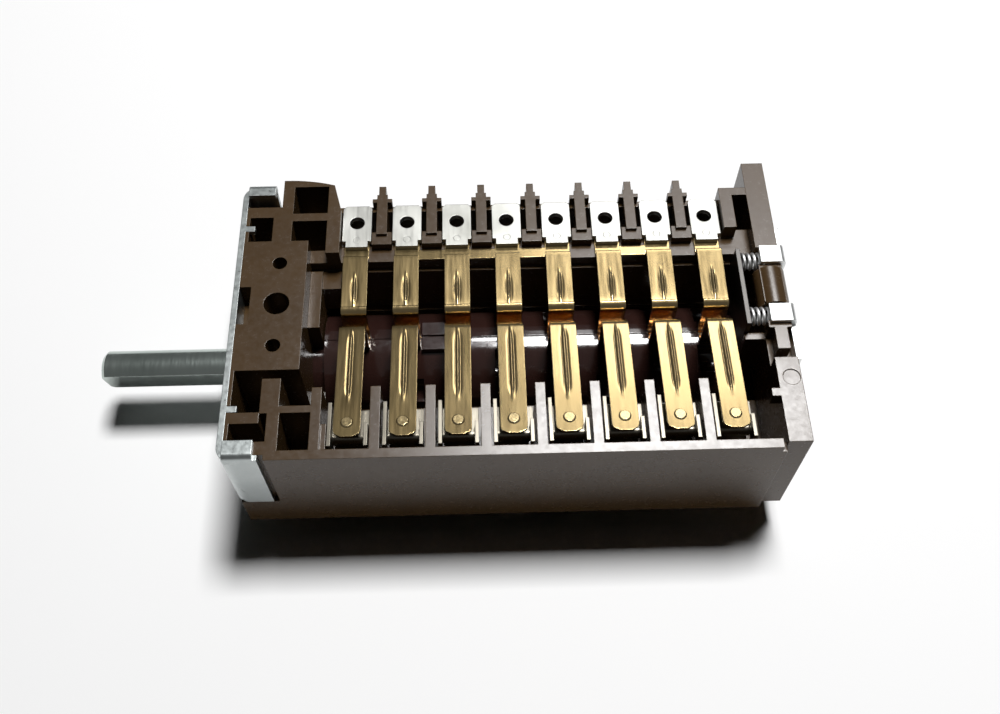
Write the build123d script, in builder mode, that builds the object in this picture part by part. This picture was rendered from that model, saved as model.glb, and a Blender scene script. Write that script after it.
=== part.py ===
from build123d import *
import math
import os

os.makedirs("parts", exist_ok=True)

# Frame: millimetres, +Z towards the open contact side, +X along the shaft away from the panel,
# +Y towards the terminal row. The origin is on the shaft axis, on the plate's panel face.

# Contact row
CONTACTS = 8
PITCH = 7.1
FIRST_X = 16.3
BLADE_GROUPS = {
    "contact_spring_1": (0, 0),
    "contact_comb_2_to_5": (1, 4),
    "contact_comb_6_to_7": (5, 6),
    "contact_spring_8": (7, 7),
}

# Moulded housing, seen along the shaft
RIM_Z = 14.7
BOTTOM_Z = -10.0
SKIRT_Z = -4.8
NEAR_Y = -21.6
BACK_Y = 14.1
WALL = 1.3
LEDGE_Y = 9.9
LEDGE_Z = 12.2
STEP_Y = 9.4
STEP_Z = 10.4
WELL_FLOOR_Z = 2.0
FLOOR_T = 1.4
BELLY_R = 10.0
FOOT_HALF_W = 5.5
CAVITY_R = 8.5
NEAR_RECESS_FAR_Y = -10.5
FAR_RECESS_NEAR_Y = 10.4
FAR_RECESS_TOP_Z = 8.0

# Moulded housing, seen from the open side
PLATE_T = 0.8
BODY_END_X = 72.2
HEAD_END_X = 9.75
BLOCK_NEAR_Y = -8.65
BLOCK_FAR_Y = 12.05
NEAR_ARM_END_X = 6.0
RIB_NEAR_X = 11.6
RIB_FAR_X = 12.9
RIB_START_Y = -11.4
WEB_X = 2.44
SHOULDER_END_X = 11.4
SHOULDER_NEAR_Y = 0.0
SHOULDER_FAR_Y = 9.3
SHOULDER_Z = 11.0
LEDGE_STEP_END_X = 14.0
LEDGE_STEP_NEAR_Y = 6.7

# Head of the housing: ribs and core pockets
POCKET_FLOOR_Z = 3.8
FRONT_SKIN_X = 1.3
LEFT_RIB_INSET = 5.2
LEFT_RIB_W = 1.55
CROSS_RIB_INSET = 6.6
CROSS_RIB_W = 1.0
SPINE_NEAR_X = 5.05
SPINE_FAR_X = 7.5
SPINE_THIN_NEAR_X = 6.05
SPINE_THIN_FAR_X = 7.65
SMALL_RIB_X = 12.8
SMALL_RIB_T = 0.8
HEAD_INSET = 3.65
HEAD_RIM_W = 1.8
FAR_SPINE_NEAR_X = 4.6
FAR_SPINE_FAR_X = 7.3
FAR_CROSS_NEAR_Y = 15.5
FAR_CROSS_FAR_Y = 16.8
TOWER_X = 5.7
TOWER_Y = 22.8
TOWER_INNER_Y = 21.6
TOWER_SIDE_X = 14.1
TOWER_SIDE_Y = 17.3
TOWER_CORNER_X = 13.0
TOWER_CORNER_Y = 21.8
TOWER_POCKET_X = 12.2
ARM_SHELF_Z = 11.0
CORE_HOLE_R = 1.75
CORE_HOLE_Y = 1.7
PIN_HOLE_R = 1.0
PIN_HOLE_STEP = 6.6
BLOCK_HOLE_X = 6.03
BLOCK_HOLE_DEPTH = 5.0
NOTCH_END_X = 2.4
NOTCH_NEAR_Y = -1.5
NOTCH_FAR_Y = 4.45
NOTCH_DEPTH = 4.0

# Partitions and barriers between the contacts
PARTITION_W = 1.3
BARRIER_W = 1.5
BARRIER_TIP_W = 1.0
BARRIER_TIP_Y = 20.4
BARRIER_Y = 21.9
BARRIER_Z = 14.0
BARRIER_SLOPE_Z = 4.0
WING_NEAR_Y = 18.6
WING_T = 0.6
WING_HALF_W = 1.4
WING_H = 2.0
BAY_WALL_NEAR_Y = 18.4
BAY_WALL_FAR_Y = 19.3
BAY_WALL_FOOT_Z = 5.5
END_POST_X = 68.3
END_POST_W = 1.8
END_POST_Y = 19.8

# Shaft and cam drum
SHAFT_R = 3.0
SHAFT_OUT = 21.0
SHAFT_IN = 40.0
SHAFT_FLAT = 1.6
FLAT_TILT = 12
FLAT_END_X = -2.5
SHAFT_SHOULDER_X = -0.3
SHAFT_SEAT_R = 2.6
SHAFT_CHAMFER = 0.5
SHAFT_CLEARANCE = 0.3
RUNNING = 0.06
DRUM_R = 7.4
DRUM_START_X = 11.6
DRUM_END_X = 68.6
FRONT_JOURNAL_R = 5.5
REAR_JOURNAL_R = 4.0
REAR_JOURNAL_END_X = 74.4
VALLEY_R = 2.2
VALLEY_W = 4.2
VALLEY_DEPTH = 1.3
PAD_NEAR_X = 25.35
PAD_FAR_X = 28.55
PAD_HALF_W = 2.2
PAD_Z = 8.1
PARTING_W = 0.25
PARTING_DEPTH = 0.15
CROWN_STEPS = 12
CROWN_H = 0.7
CROWN_INNER_R = 4.6
CROWN_GROOVE_R = 0.8

# Spring blades
BLADE_T = 0.35
BLADE_W = 3.5
TIP_INSET = 3.0
BLADE_TIP_R = 1.0
BLADE_RISE = 2.2
BLADE_ROOT_Y = 13.6
COMB_NEAR_Y = 9.95
COMB_FAR_Y = 11.5
FOLLOWER_FAR_Y = 0.9
FOLLOWER_NEAR_Y = -1.4
FOLLOWER_Z = 7.5
FOLLOWER_BEND_R = 0.75
FOLLOWER_LEAN = 0.15
ROOT_BEND_R = 2.0
BEAD_W = 1.3
BEAD_H = 0.2
BEAD_TAPER = 40
BEAD_TIP_INSET = 5.7
LONG_BEAD_FAR_Y = -3.4
SHORT_BEAD = (1.9, 7.0)
CONTACT_INSET = 5.05
CONTACT_R = 1.1
CONTACT_H = 0.5
CONTACT_SHANK_R = 0.6
PEEN_R = 0.85
PEEN_H = 0.22

# Input terminals
TERMINAL_T = 0.8
TERMINAL_W = 4.1
TERMINAL_NECK_W = 3.1
TERMINAL_NEAR_Y = 11.75
TERMINAL_NECK_L = 1.0
TERMINAL_FAR_Y = 18.9
TERMINAL_CORNER = 0.45
TERMINAL_HOLE_R = 1.05
TERMINAL_HOLE_Y = 15.9
TERMINAL_RIVET_Y = 12.95
TERMINAL_SIDE_GAP = 0.1
RIVET_SHANK_R = 0.5
RIVET_HEAD_R = 0.9
RIVET_HEAD_H = 0.6
RIVET_CLEARANCE = 0.2
CHEEK_NEAR_Y = 12.0
CHEEK_Z = 13.5

# Fixed contacts, each a folded strip with two ears and an output tab
SEAT_Z = 11.7
SEAT_T = 0.6
SEAT_HALF_W = 2.6
SEAT_INSET = 3.5
SEAT_L = 4.4
EAR_T = 0.5
EAR_TOP_Z = 14.0
EAR_INSET = 2.1
EAR_LONG_L = 6.2
EAR_SHORT_L = 3.2
LEG_W = 4.0
TAB_END_Z = -6.0
TAB_CORNER = 0.8
TAB_HOLE_R = 0.7
TAB_HOLE_Z = -3.4
SEAT_BEND_R = 0.5
PEDESTAL_HALF_W = 2.0
PEDESTAL_INSET = 0.2
FIT_GAP = 0.05

# Rear end plate, detent and clip
END_T = 3.1
END_INSET = 0.8
END_FAR_Y = 24.2
DETENT_X = 69.45
DETENT_T = 0.6
DETENT_NEAR_Y = -3.0
DETENT_FAR_Y = 9.2
DETENT_FOOT_Z = 4.5
DETENT_TOP_Z = 14.4
NOSE_R = 0.7
NOSE_TOP_Z = 7.2
GUIDE_W = 1.0
GUIDE_GAP = 0.12
GUIDE_TOP_Z = 12.0
SPRING_NEAR_Y = -1.3
SPRING_FAR_Y = 7.7
SPRING_Z = 13.3
SPRING_R = 1.3
SPRING_WIRE_R = 0.22
SPRING_WIRE_SIDES = 8
SPRING_TURNS = 6
TROUGH_R = 1.5
TROUGH_END_X = 74.8
RIM_SLOT_NEAR_Y = -8.5
RIM_SLOT_FAR_Y = -7.2
RIM_SLOT_DEPTH = 2.5
RIM_THIN_T = 0.7
RIM_THIN_FAR_Y = -3.9
EJECTOR_R = 1.15
EJECTOR_DEPTH = 0.15
EJECTOR_X = 74.0
EJECTOR_Y = -11.5
INNER_TAB_NEAR_Y = -14.25
INNER_TAB_FAR_Y = -13.1
INNER_TAB_L = 1.1
INNER_TAB_H = 2.2
ROLL_R = 2.2
ROLL_TOP_Z = 15.2
ROLL_NEAR_Y = -0.1
ROLL_FAR_Y = 5.7
CLIP_T = 0.7
CLIP_NEAR_Y = -8.5
CLIP_FAR_Y = 13.0
CLIP_FOOT_Z = 6.0
CLIP_NOTCH_Z = 10.4
FINGER_W = 2.7
FINGER_NEAR_Y = -3.25
FINGER_FAR_Y = 6.3
FINGER_START_X = 72.5
FINGER_BEND_R = 0.36

# Mounting plate
BRACKET_BEND_R = 1.6
ARM_FOOT_Z = 1.6
NEAR_ARM_X = 5.2
FAR_ARM_X = 4.6
LUG_START_X = 0.9
LUG_END_X = 4.7
LUG_BEND_R = 0.41
NEAR_LUG_L = 2.55
FAR_LUG_L = 2.05
SHIELD_HALF_W = 17.0
SHIELD_KNEE_Z = -5.0
SHIELD_FOOT_HALF_W = 8.0
HOLE_SPACING = 28.0
TAP_HOLE_R = 1.65
COLLAR_R = 2.6
COLLAR_H = 1.3
COLLAR_CLEARANCE = 0.4
NUB_W = 0.9
NUB_L = 1.3
NUB_Y = 14.3


def contact_x(index):
    """Centre of one contact along the shaft."""
    return FIRST_X + index * PITCH


def middle_x(index):
    """Centre of the space between one contact and the next."""
    return contact_x(index) + PITCH / 2


# Places that follow the near wall, measured from its outer face
BLADE_TIP_Y = NEAR_Y + TIP_INSET
CONTACT_Y = NEAR_Y + CONTACT_INSET
LONG_BEAD = (BLADE_TIP_Y + BEAD_TIP_INSET, LONG_BEAD_FAR_Y)
SEAT_NEAR_Y = NEAR_Y + SEAT_INSET
SEAT_FAR_Y = SEAT_NEAR_Y + SEAT_L
PEDESTAL_FAR_Y = SEAT_FAR_Y - PEDESTAL_INSET
EAR_NEAR_Y = NEAR_Y + EAR_INSET
EAR_LONG_FAR_Y = EAR_NEAR_Y + EAR_LONG_L
EAR_SHORT_FAR_Y = EAR_NEAR_Y + EAR_SHORT_L
LEFT_RIB_NEAR_Y = NEAR_Y + LEFT_RIB_INSET
LEFT_RIB_FAR_Y = LEFT_RIB_NEAR_Y + LEFT_RIB_W
CROSS_RIB_NEAR_Y = NEAR_Y + CROSS_RIB_INSET
CROSS_RIB_FAR_Y = CROSS_RIB_NEAR_Y + CROSS_RIB_W
END_NEAR_Y = NEAR_Y + END_INSET

# The mounting plate clasps the near wall, and the head follows its far arm
BRACKET_HALF_W = FIT_GAP - NEAR_Y
NEAR_LUG_Y = NEAR_LUG_L - BRACKET_HALF_W
FAR_LUG_Y = BRACKET_HALF_W - FAR_LUG_L
HEAD_FAR_Y = BRACKET_HALF_W - HEAD_INSET
FAR_POCKET_Y = HEAD_FAR_Y - HEAD_RIM_W

# Slope of the blades, measured on their lower face
BLADE_SLOPE = BLADE_RISE / (LEDGE_Y - BLADE_TIP_Y)


def blade_z(y):
    """Lower face of the blade at a place along it."""
    return LEDGE_Z + max(0.0, LEDGE_Y - y) * BLADE_SLOPE


def blade_centre_z(y):
    """Middle of the blade's thickness at a place along its slope."""
    return blade_z(y) + BLADE_T / 2 * math.sqrt(1 + BLADE_SLOPE**2)


def finish(part, name):
    """Label a finished piece and write it."""
    part.part.label = name
    export_step(part.part, f"parts/{name}.step")


TERMINAL_Z = LEDGE_Z + BLADE_T
SEAT_TOP_Z = SEAT_Z + SEAT_T
LEG_Y = SEAT_NEAR_Y + SEAT_T / 2
INNER_NEAR_Y = NEAR_Y + WALL
ARM_INNER_Y = BRACKET_HALF_W - PLATE_T
END_OUTER_X = BODY_END_X + END_T
BARRIER_XS = [middle_x(i) for i in range(CONTACTS - 1)]

# Housing: one thermoset moulding with the contact well, the ribbed head and the barriers
with BuildPart() as housing:
    with BuildSketch(Plane.YZ.offset(PLATE_T)):
        with BuildLine():
            Polyline(
                (NEAR_Y, SKIRT_Z),
                (BACK_Y, SKIRT_Z),
                (BACK_Y, LEDGE_Z),
                (LEDGE_Y, LEDGE_Z),
                (LEDGE_Y, RIM_Z),
                (NEAR_Y, RIM_Z),
                close=True,
            )
        make_face()
        Circle(BELLY_R)
        with Locations((0, BOTTOM_Z / 2)):
            Rectangle(2 * FOOT_HALF_W, -BOTTOM_Z)
    extrude(amount=BODY_END_X - PLATE_T)

    # Head on the terminal side, with its tower beside the first terminal
    bend_relief = BRACKET_BEND_R - PLATE_T / 2
    with BuildSketch(Plane.XY.offset(ARM_FOOT_Z)):
        with BuildLine():
            Polyline(
                (TOWER_CORNER_X, TOWER_CORNER_Y),
                (TOWER_SIDE_X, TOWER_SIDE_Y),
                (TOWER_SIDE_X, LEDGE_Y),
                (PLATE_T, LEDGE_Y),
                (PLATE_T, HEAD_FAR_Y),
                (TOWER_X, HEAD_FAR_Y),
                (TOWER_X, TOWER_Y),
            )
            ThreePointArc(
                (TOWER_X, TOWER_Y),
                ((TOWER_X + TOWER_CORNER_X) / 2, TOWER_Y - PLATE_T / 4),
                (TOWER_CORNER_X, TOWER_CORNER_Y),
            )
        make_face()
    extrude(amount=RIM_Z - ARM_FOOT_Z)
    # Shelf under the far lug of the mounting plate
    with BuildSketch(Plane.XY.offset(ARM_FOOT_Z)):
        with BuildLine():
            Polyline(
                (PLATE_T, HEAD_FAR_Y),
                (TOWER_X, HEAD_FAR_Y),
                (TOWER_X, ARM_INNER_Y),
                (PLATE_T + bend_relief, ARM_INNER_Y),
                (PLATE_T, ARM_INNER_Y - bend_relief),
                close=True,
            )
        make_face()
    extrude(amount=ARM_SHELF_Z - ARM_FOOT_Z)
    # Recess for the near arm of the mounting plate
    with BuildSketch(Plane.XY.offset(ARM_FOOT_Z)):
        with BuildLine():
            Polyline(
                (PLATE_T, NEAR_Y),
                (NEAR_ARM_END_X, NEAR_Y),
                (NEAR_ARM_END_X, -ARM_INNER_Y),
                (PLATE_T + bend_relief, -ARM_INNER_Y),
                (PLATE_T, bend_relief - ARM_INNER_Y),
                close=True,
            )
        make_face()
    extrude(amount=RIM_Z - ARM_FOOT_Z, mode=Mode.SUBTRACT)

    # Contact well
    with BuildSketch(Plane.XY.offset(WELL_FLOOR_Z)):
        with BuildLine():
            Polyline(
                (RIB_FAR_X, INNER_NEAR_Y),
                (BODY_END_X, INNER_NEAR_Y),
                (BODY_END_X, LEDGE_Y),
                (HEAD_END_X, LEDGE_Y),
                (HEAD_END_X, RIB_START_Y),
                (RIB_FAR_X, RIB_START_Y),
                close=True,
            )
        make_face()
    extrude(amount=RIM_Z - WELL_FLOOR_Z, mode=Mode.SUBTRACT)
    # Low corner between the bearing block and the tower
    with BuildSketch(Plane.XY.offset(LEDGE_Z)):
        with Locations(((HEAD_END_X + TOWER_POCKET_X) / 2, (LEDGE_Y + BLOCK_FAR_Y) / 2)):
            Rectangle(TOWER_POCKET_X - HEAD_END_X, BLOCK_FAR_Y - LEDGE_Y)
    extrude(amount=RIM_Z - LEDGE_Z, mode=Mode.SUBTRACT)
    # Shoulder of the front bearing and the two steps of the ledge
    with BuildSketch(Plane.XY.offset(WELL_FLOOR_Z)):
        with Locations(((HEAD_END_X + SHOULDER_END_X) / 2, (SHOULDER_NEAR_Y + SHOULDER_FAR_Y) / 2)):
            Rectangle(SHOULDER_END_X - HEAD_END_X, SHOULDER_FAR_Y - SHOULDER_NEAR_Y)
    extrude(amount=SHOULDER_Z - WELL_FLOOR_Z)
    with BuildSketch(Plane.XY.offset(WELL_FLOOR_Z)):
        with Locations(((HEAD_END_X + DETENT_X) / 2, (STEP_Y + LEDGE_Y) / 2)):
            Rectangle(DETENT_X - HEAD_END_X, LEDGE_Y - STEP_Y)
        with Locations(((SHOULDER_END_X + LEDGE_STEP_END_X) / 2, (LEDGE_STEP_NEAR_Y + LEDGE_Y) / 2)):
            Rectangle(LEDGE_STEP_END_X - SHOULDER_END_X, LEDGE_Y - LEDGE_STEP_NEAR_Y)
    extrude(amount=STEP_Z - WELL_FLOOR_Z)
    # Drum cavity, front bearing and the web that takes the thrust
    with BuildSketch(Plane.YZ.offset(SHOULDER_END_X)):
        Circle(CAVITY_R)
    extrude(amount=BODY_END_X - SHOULDER_END_X, mode=Mode.SUBTRACT)
    with BuildSketch(Plane.YZ.offset(WEB_X)):
        Circle(FRONT_JOURNAL_R + RUNNING)
    extrude(amount=SHOULDER_END_X - WEB_X, mode=Mode.SUBTRACT)
    with BuildSketch(Plane.YZ.offset(PLATE_T)):
        Circle(SHAFT_R + SHAFT_CLEARANCE)
    extrude(amount=WEB_X - PLATE_T, mode=Mode.SUBTRACT)

    # Core pockets of the head, each from its near left to its far right corner
    for near_corner, far_corner in (
        ((FRONT_SKIN_X, BLOCK_FAR_Y), (FAR_SPINE_NEAR_X, FAR_POCKET_Y)),
        ((FAR_SPINE_FAR_X, BLOCK_FAR_Y), (TOWER_POCKET_X, FAR_CROSS_NEAR_Y)),
        ((FAR_SPINE_FAR_X, FAR_CROSS_FAR_Y), (TOWER_POCKET_X, TOWER_INNER_Y)),
        ((FRONT_SKIN_X, LEFT_RIB_FAR_Y), (SPINE_NEAR_X, BLOCK_NEAR_Y)),
        ((SPINE_NEAR_X, BLOCK_NEAR_Y - PARTITION_W), (SPINE_FAR_X, BLOCK_NEAR_Y)),
        ((SPINE_FAR_X, CROSS_RIB_FAR_Y), (RIB_NEAR_X, BLOCK_NEAR_Y)),
        ((SPINE_THIN_FAR_X, INNER_NEAR_Y), (RIB_NEAR_X, CROSS_RIB_NEAR_Y)),
        ((FRONT_SKIN_X, INNER_NEAR_Y + WALL), (SPINE_NEAR_X, LEFT_RIB_NEAR_Y)),
        ((SPINE_NEAR_X, INNER_NEAR_Y + WALL), (SPINE_THIN_NEAR_X, CROSS_RIB_NEAR_Y)),
    ):
        with BuildSketch(Plane.XY.offset(POCKET_FLOOR_Z)):
            with Locations(((near_corner[0] + far_corner[0]) / 2, (near_corner[1] + far_corner[1]) / 2)):
                Rectangle(far_corner[0] - near_corner[0], far_corner[1] - near_corner[1])
        extrude(amount=RIM_Z - POCKET_FLOOR_Z, mode=Mode.SUBTRACT)
    # Notch and holes in the bearing block
    with BuildSketch(Plane.XY.offset(RIM_Z - NOTCH_DEPTH)):
        with Locations(((PLATE_T + NOTCH_END_X) / 2, (NOTCH_NEAR_Y + NOTCH_FAR_Y) / 2)):
            Rectangle(NOTCH_END_X - PLATE_T, NOTCH_FAR_Y - NOTCH_NEAR_Y)
    extrude(amount=NOTCH_DEPTH, mode=Mode.SUBTRACT)
    with BuildSketch(Plane.XY.offset(RIM_Z - BLOCK_HOLE_DEPTH)):
        with Locations(
            (BLOCK_HOLE_X, CORE_HOLE_Y - PIN_HOLE_STEP),
            (BLOCK_HOLE_X, CORE_HOLE_Y + PIN_HOLE_STEP),
        ):
            Circle(PIN_HOLE_R)
        with Locations((BLOCK_HOLE_X, CORE_HOLE_Y)):
            Circle(CORE_HOLE_R)
    extrude(amount=BLOCK_HOLE_DEPTH, mode=Mode.SUBTRACT)
    # Seats of the plate's two nubs and its threaded collars
    with BuildSketch(Plane.XY.offset(RIM_Z - PLATE_T - FIT_GAP)):
        with Locations((PLATE_T + NUB_L / 2 + FIT_GAP, -NUB_Y), (PLATE_T + NUB_L / 2 + FIT_GAP, NUB_Y)):
            Rectangle(NUB_L + 2 * FIT_GAP, NUB_W + 2 * FIT_GAP)
    extrude(amount=PLATE_T + FIT_GAP, mode=Mode.SUBTRACT)
    with BuildSketch(Plane.YZ.offset(PLATE_T)):
        with Locations((-HOLE_SPACING / 2, 0), (HOLE_SPACING / 2, 0)):
            Circle(COLLAR_R + COLLAR_CLEARANCE)
    extrude(amount=COLLAR_H + COLLAR_CLEARANCE, mode=Mode.SUBTRACT)

    # Partitions, the small rib beside them and the pedestals of the fixed contacts, rooted in the floor
    root_z = WELL_FLOOR_Z - FLOOR_T / 2
    root_y = NEAR_Y + WALL / 2
    pedestal_near_y = SEAT_NEAR_Y + SEAT_T / 2 + SEAT_BEND_R
    with BuildSketch(Plane.XY.offset(root_z)):
        for x in BARRIER_XS:
            with Locations((x, (root_y + RIB_START_Y) / 2)):
                Rectangle(PARTITION_W, RIB_START_Y - root_y)
    extrude(amount=RIM_Z - root_z)
    with BuildSketch(Plane.XY.offset(root_z)):
        with Locations((SMALL_RIB_X + SMALL_RIB_T / 2, (root_y + LEFT_RIB_NEAR_Y) / 2)):
            Rectangle(SMALL_RIB_T, LEFT_RIB_NEAR_Y - root_y)
    extrude(amount=EAR_TOP_Z - root_z)
    with BuildSketch(Plane.XY.offset(root_z)):
        for i in range(CONTACTS):
            with Locations((contact_x(i), (pedestal_near_y + PEDESTAL_FAR_Y) / 2)):
                Rectangle(2 * PEDESTAL_HALF_W, PEDESTAL_FAR_Y - pedestal_near_y)
    extrude(amount=SEAT_Z - root_z)

    # Barriers between the terminals, sloped below and narrowed at the tip, with a small wing each side
    slope_rise = (BARRIER_SLOPE_Z - SKIRT_Z) / (BARRIER_Y - BACK_Y)
    for x in BARRIER_XS:
        for width, reach_y in ((BARRIER_W, BARRIER_TIP_Y), (BARRIER_TIP_W, BARRIER_Y)):
            with BuildSketch(Plane.YZ.offset(x - width / 2)):
                with BuildLine():
                    Polyline(
                        (BACK_Y - WALL / 2, SKIRT_Z),
                        (BACK_Y, SKIRT_Z),
                        (reach_y, SKIRT_Z + (reach_y - BACK_Y) * slope_rise),
                        (reach_y, BARRIER_Z),
                        (BACK_Y - WALL / 2, BARRIER_Z),
                        close=True,
                    )
                make_face()
            extrude(amount=width)
    with BuildSketch(Plane.XY.offset(BARRIER_Z - WING_H)):
        for x in BARRIER_XS:
            with Locations((x, WING_NEAR_Y + TERMINAL_CORNER + WING_T / 2)):
                Rectangle(2 * WING_HALF_W, WING_T)
    extrude(amount=WING_H)
    # Far wall of the terminal bays, on which the terminals' ends rest
    with BuildSketch(Plane.XY.offset(BAY_WALL_FOOT_Z)):
        bay_end_x = END_POST_X + END_POST_W / 2
        with Locations(((TOWER_CORNER_X + bay_end_x) / 2, (BAY_WALL_NEAR_Y + BAY_WALL_FAR_Y) / 2)):
            Rectangle(bay_end_x - TOWER_CORNER_X, BAY_WALL_FAR_Y - BAY_WALL_NEAR_Y)
    extrude(amount=TERMINAL_Z - BAY_WALL_FOOT_Z)
    # Cheeks that hold the terminals sideways on the ledge
    cheek_w = PITCH - TERMINAL_W - 2 * TERMINAL_SIDE_GAP
    with BuildSketch(Plane.XY.offset(LEDGE_Z)):
        for x in BARRIER_XS:
            with Locations((x, (CHEEK_NEAR_Y + BACK_Y) / 2)):
                Rectangle(cheek_w, BACK_Y - CHEEK_NEAR_Y)
    extrude(amount=CHEEK_Z - LEDGE_Z)
    # Post and cross wall after the last terminal
    with BuildSketch(Plane.XY.offset(SKIRT_Z)):
        with Locations((END_POST_X + END_POST_W / 2, (BACK_Y - WALL + END_POST_Y) / 2)):
            Rectangle(END_POST_W, END_POST_Y - BACK_Y + WALL)
        with Locations(((END_POST_X + BODY_END_X) / 2, END_POST_Y - WALL / 2)):
            Rectangle(BODY_END_X - END_POST_X, WALL)
    extrude(amount=RIM_Z - SKIRT_Z)

    # Pockets under the terminal rivets
    with BuildSketch(Plane.XY.offset(LEDGE_Z - RIVET_HEAD_H - RIVET_CLEARANCE)):
        for i in range(CONTACTS):
            with Locations((contact_x(i), TERMINAL_RIVET_Y)):
                Circle(RIVET_HEAD_R + RIVET_CLEARANCE)
    extrude(amount=RIVET_HEAD_H + RIVET_CLEARANCE, mode=Mode.SUBTRACT)
    # Recesses under the well floor and behind the drum cavity, open downwards
    recess_length = BODY_END_X - 2 * WALL - PLATE_T - COLLAR_H
    recess_x = PLATE_T + COLLAR_H + WALL + recess_length / 2
    recess_w = NEAR_RECESS_FAR_Y - INNER_NEAR_Y
    with BuildSketch(Plane.XY.offset(SKIRT_Z)):
        with Locations((recess_x, (INNER_NEAR_Y + NEAR_RECESS_FAR_Y) / 2)):
            Rectangle(recess_length, recess_w)
    extrude(amount=WELL_FLOOR_Z - FLOOR_T - SKIRT_Z, mode=Mode.SUBTRACT)
    with BuildSketch(Plane.XY.offset(SKIRT_Z)):
        far_recess_end_x = recess_x + recess_length / 2
        with Locations(((TOWER_SIDE_X + far_recess_end_x) / 2, (FAR_RECESS_NEAR_Y + BACK_Y - WALL) / 2)):
            Rectangle(far_recess_end_x - TOWER_SIDE_X, BACK_Y - WALL - FAR_RECESS_NEAR_Y)
    extrude(amount=FAR_RECESS_TOP_Z - SKIRT_Z, mode=Mode.SUBTRACT)
    # Slots in the floor for the legs of the fixed contacts
    with BuildSketch(Plane.XY.offset(SKIRT_Z)):
        for i in range(CONTACTS):
            with Locations((contact_x(i), LEG_Y)):
                Rectangle(LEG_W + 2 * FIT_GAP, SEAT_T + 2 * FIT_GAP)
    extrude(amount=WELL_FLOOR_Z - SKIRT_Z, mode=Mode.SUBTRACT)
    # Relief beside the end plate at the near rim
    with BuildSketch(Plane.XY.offset(RIM_Z - WALL)):
        with Locations((BODY_END_X - WALL / 4, NEAR_Y + WALL / 2)):
            Rectangle(WALL / 2, WALL)
    extrude(amount=WALL, mode=Mode.SUBTRACT)
finish(housing, "housing")

# Rear end plate: closes the cavity, carries the rear journal and the detent springs
with BuildPart() as rear_end_plate:
    with BuildSketch(Plane.YZ.offset(BODY_END_X)):
        with Locations(((END_NEAR_Y + END_FAR_Y) / 2, (SKIRT_Z + RIM_Z) / 2)):
            Rectangle(END_FAR_Y - END_NEAR_Y, RIM_Z - SKIRT_Z)
        Circle(BELLY_R)
        with Locations((0, BOTTOM_Z / 2)):
            Rectangle(2 * FOOT_HALF_W, -BOTTOM_Z)
    extrude(amount=END_T)
    # Half-round roll of the rim between the clip fingers
    with BuildSketch(Plane.XZ.offset(-ROLL_NEAR_Y)):
        with Locations((BODY_END_X + END_T / 2, ROLL_TOP_Z - ROLL_R)):
            Circle(ROLL_R)
    extrude(amount=ROLL_NEAR_Y - ROLL_FAR_Y)
    # Guide of the detent plate
    guide_l = BODY_END_X - DETENT_X
    with BuildSketch(Plane.YZ.offset(BODY_END_X - guide_l)):
        with Locations((DETENT_NEAR_Y - GUIDE_GAP - GUIDE_W / 2, (DETENT_FOOT_Z + GUIDE_TOP_Z) / 2)):
            Rectangle(GUIDE_W, GUIDE_TOP_Z - DETENT_FOOT_Z)
    extrude(amount=guide_l)
    # Small tab inside the near corner
    with BuildSketch(Plane.XY.offset(RIM_Z - INNER_TAB_H)):
        with Locations((BODY_END_X - INNER_TAB_L / 2, (INNER_TAB_NEAR_Y + INNER_TAB_FAR_Y) / 2)):
            Rectangle(INNER_TAB_L, INNER_TAB_FAR_Y - INNER_TAB_NEAR_Y)
    extrude(amount=INNER_TAB_H)
    # Rear bearing
    with BuildSketch(Plane.YZ.offset(BODY_END_X)):
        Circle(REAR_JOURNAL_R + RUNNING)
    extrude(amount=REAR_JOURNAL_END_X + SHAFT_CLEARANCE - BODY_END_X, mode=Mode.SUBTRACT)
    # Open troughs for the springs
    with BuildSketch(Plane.YZ.offset(BODY_END_X)):
        for y in (SPRING_NEAR_Y, SPRING_FAR_Y):
            with Locations((y, SPRING_Z)):
                Circle(TROUGH_R)
            with Locations((y, (SPRING_Z + RIM_Z) / 2)):
                Rectangle(2 * TROUGH_R, RIM_Z - SPRING_Z)
    extrude(amount=TROUGH_END_X - BODY_END_X, mode=Mode.SUBTRACT)
    # Slot and thinned rim beside the clip
    with BuildSketch(Plane.XY.offset(RIM_Z - RIM_SLOT_DEPTH)):
        with Locations((BODY_END_X + END_T / 2, (RIM_SLOT_NEAR_Y + RIM_SLOT_FAR_Y) / 2)):
            Rectangle(END_T, RIM_SLOT_FAR_Y - RIM_SLOT_NEAR_Y)
        with Locations(
            (BODY_END_X + RIM_THIN_T / 2, (RIM_SLOT_FAR_Y + RIM_THIN_FAR_Y) / 2),
            (END_OUTER_X - RIM_THIN_T / 2, (RIM_SLOT_FAR_Y + RIM_THIN_FAR_Y) / 2),
        ):
            Rectangle(RIM_THIN_T, RIM_THIN_FAR_Y - RIM_SLOT_FAR_Y)
    extrude(amount=RIM_SLOT_DEPTH, mode=Mode.SUBTRACT)
    # Ejector mark
    with BuildSketch(Plane.XY.offset(RIM_Z - EJECTOR_DEPTH)):
        with Locations((EJECTOR_X, EJECTOR_Y)):
            Circle(EJECTOR_R)
    extrude(amount=EJECTOR_DEPTH, mode=Mode.SUBTRACT)
finish(rear_end_plate, "rear_end_plate")

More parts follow.
